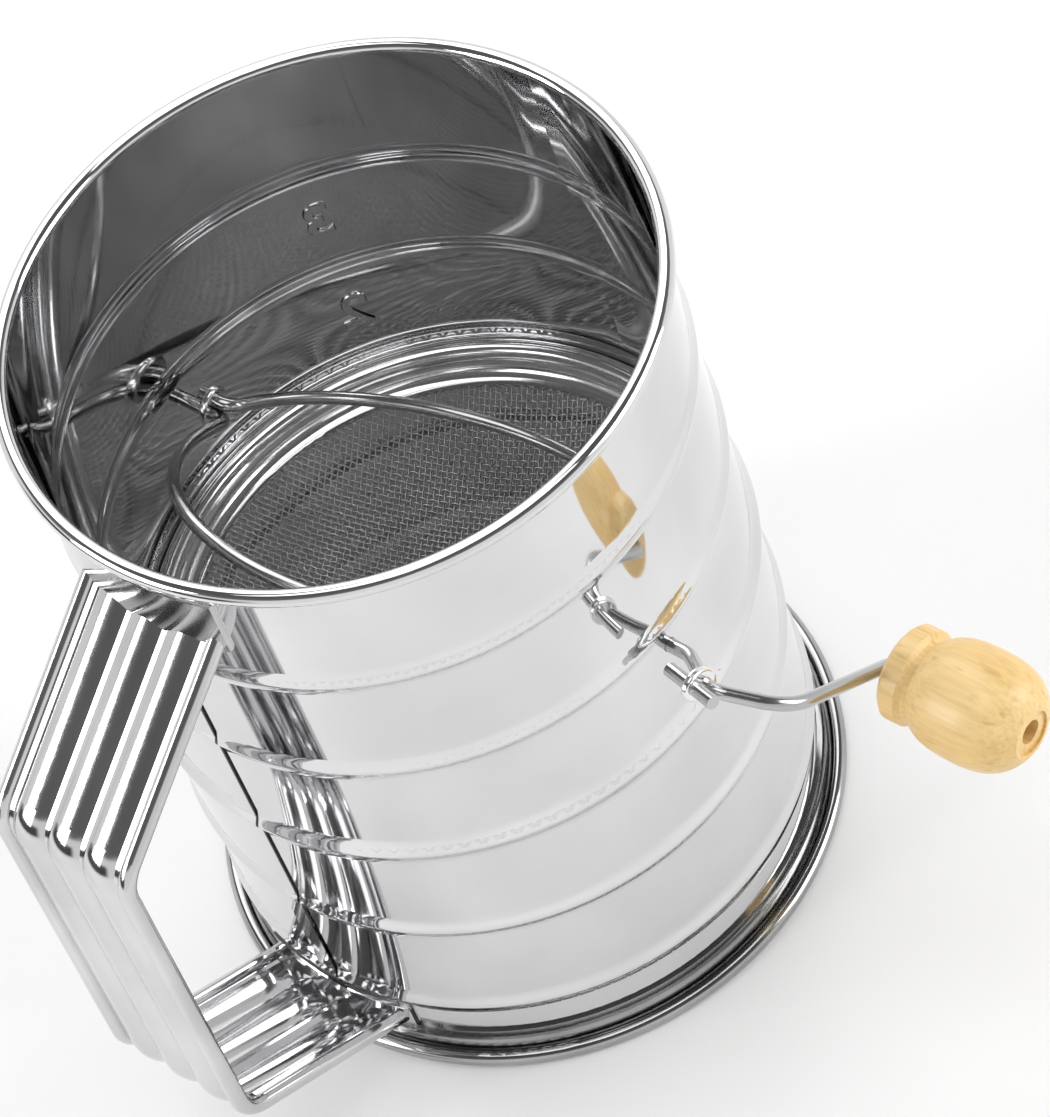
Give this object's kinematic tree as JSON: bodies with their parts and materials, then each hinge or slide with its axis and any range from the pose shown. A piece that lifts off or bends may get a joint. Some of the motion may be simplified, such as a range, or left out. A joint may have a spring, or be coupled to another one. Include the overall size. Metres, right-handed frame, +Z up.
{
  "type": "flour sifter",
  "caption": "Hand-crank flour sifter: beaded metal can with a mesh bowl, wire agitator on a shaft, side crank with a wooden knob and a fluted strap handle.",
  "frame": {"origin": "centre of the can's axis at the plane that its base ring stands on", "axes": "+Z up the can's axis, handle at -X, crank leaves the can at -Y, far bearing at +Y"},
  "size_m": [0.1438, 0.1608, 0.141],
  "materials": {
    "can_sheet": "bright polished stainless sheet",
    "base_sheet": "bright polished stainless sheet",
    "frame_sheet": "polished pressed sheet",
    "handle_sheet": "polished pressed strap",
    "hoop_wire": "drawn steel wire",
    "wire": "polished drawn wire",
    "clip": "polished pressed steel",
    "mesh": "woven wire, satin",
    "beech": "turned beech, satin lacquer"
  },
  "bodies": {
    "can": {"can_body": "can_sheet", "rim_wire": "hoop_wire", "base_ring": "base_sheet", "base_wire": "hoop_wire", "screen_frame_upper": "frame_sheet", "screen_frame_lower": "frame_sheet", "mesh_screen": "mesh", "handle_strap": "handle_sheet"},
    "agitator": {"crank_wire": "wire", "second_bow": "wire", "far_clip": "clip", "near_clip": "clip", "stop_pin": "wire", "stop_clip": "clip", "far_retainer": "clip", "knob_retainer": "clip"},
    "knob": {"knob": "beech"}
  },
  "joints": [
    {"name": "crank_spin", "type": "hinge", "parent": "can", "child": "agitator", "pos_m": [0, 0, 0.084], "axis": [0, -1, 0], "continuous": true},
    {"name": "knob_spin", "type": "hinge", "parent": "agitator", "child": "knob", "pos_m": [0.02206, -0.092, 0.06676], "axis": [0, -1, 0], "continuous": true}
  ]
}
